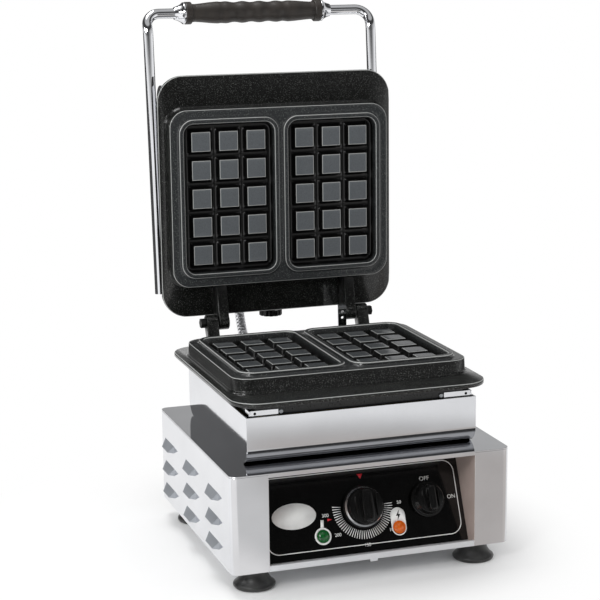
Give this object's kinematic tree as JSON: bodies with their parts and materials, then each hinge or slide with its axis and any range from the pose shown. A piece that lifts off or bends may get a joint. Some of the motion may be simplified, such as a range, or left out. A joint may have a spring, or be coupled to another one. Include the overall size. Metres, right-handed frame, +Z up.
{
  "type": "belgian waffle iron",
  "caption": "Single commercial Belgian waffle iron: stainless cabinet, sloping control panel, cast plates with peg cavities and a hinged lid with a U handle.",
  "frame": {"origin": "on the worktop, under the middle of the whole outline with the lid open", "axes": "+Z up, -Y towards the user, +X to the right as seen from the front"},
  "size_m": [0.317, 0.3914, 0.5802],
  "materials": {
    "polished_stainless": "mirror polished",
    "satin_stainless": "satin",
    "zinc_steel": "bright zinc plated",
    "conduit_steel": "bright",
    "panel_film": "gloss",
    "foot_rubber": "moulded",
    "thermostat_case": "zinc plated case",
    "bulb_copper": "drawn copper",
    "black_plastic": "moulded satin",
    "ivory_plastic": "moulded",
    "green_lens": "clear moulded",
    "amber_lens": "clear moulded",
    "insulation_board": "fibrous",
    "tray_enamel": "black enamel",
    "element_sheath": "oxidised",
    "cast_iron": "black coated casting",
    "handle_chrome": "chrome plated",
    "grip_plastic": "satin moulded"
  },
  "bodies": {
    "cabinet": {"side_panel_left": "polished_stainless", "side_panel_right": "polished_stainless", "top_sheet": "polished_stainless", "bottom_pan": "satin_stainless", "rear_panel": "satin_stainless", "fascia_carrier": "satin_stainless", "lower_housing": "polished_stainless", "corner_clips": "polished_stainless", "lid_stop": "polished_stainless", "foot_screws": "zinc_steel", "clip_screws": "zinc_steel", "pillars": "zinc_steel", "conduit_base_gland": "zinc_steel", "conduit": "conduit_steel", "control_panel": "panel_film", "foot_front_left": "foot_rubber", "foot_front_right": "foot_rubber", "foot_rear_left": "foot_rubber", "foot_rear_right": "foot_rubber", "thermostat": "thermostat_case", "thermostat_bulb": "bulb_copper", "cord_gland": "black_plastic", "main_switch": "ivory_plastic", "lamp_holders": "ivory_plastic", "terminal_block": "ivory_plastic", "green_lens": "green_lens", "amber_lens": "amber_lens", "lower_insulation": "insulation_board", "lower_tray": "tray_enamel", "lower_element": "element_sheath", "lower_plate": "cast_iron", "lower_rim_sides": "cast_iron", "lower_rim_ends": "cast_iron", "lower_hinge_lugs": "cast_iron"},
    "lid": {"conduit_lid_gland": "zinc_steel", "upper_plate": "cast_iron", "upper_rim_sides": "cast_iron", "upper_rim_ends": "cast_iron", "upper_hinge_lugs": "cast_iron", "hinge_bolts": "zinc_steel", "upper_element": "element_sheath", "upper_tray": "tray_enamel", "upper_insulation": "insulation_board", "lid_cover": "polished_stainless", "rear_buffer": "black_plastic", "handle_tube": "handle_chrome", "handle_spacers": "zinc_steel", "handle_screws": "zinc_steel", "handle_ferrules": "handle_chrome", "handle_grip": "grip_plastic"},
    "thermostat_dial": {"thermostat_spindle": "zinc_steel", "thermostat_knob": "black_plastic"},
    "switch_dial": {"switch_spindle": "zinc_steel", "switch_knob": "black_plastic"}
  },
  "joints": [
    {"name": "lid_hinge", "type": "hinge", "parent": "cabinet", "child": "lid", "pos_m": [0, 0.10233, 0.2182], "axis": [1, 0, 0], "range_deg": [0, 90], "deforming": ["conduit"]},
    {"name": "thermostat_turn", "type": "hinge", "parent": "cabinet", "child": "thermostat_dial", "pos_m": [0, -0.16105, 0.06701], "axis": [0, -0.9164, 0.4003], "range_deg": [-260, 0]},
    {"name": "switch_turn", "type": "hinge", "parent": "cabinet", "child": "switch_dial", "pos_m": [0.072, -0.16105, 0.06701], "axis": [0, -0.9164, 0.4003], "range_deg": [-90, 0]}
  ]
}
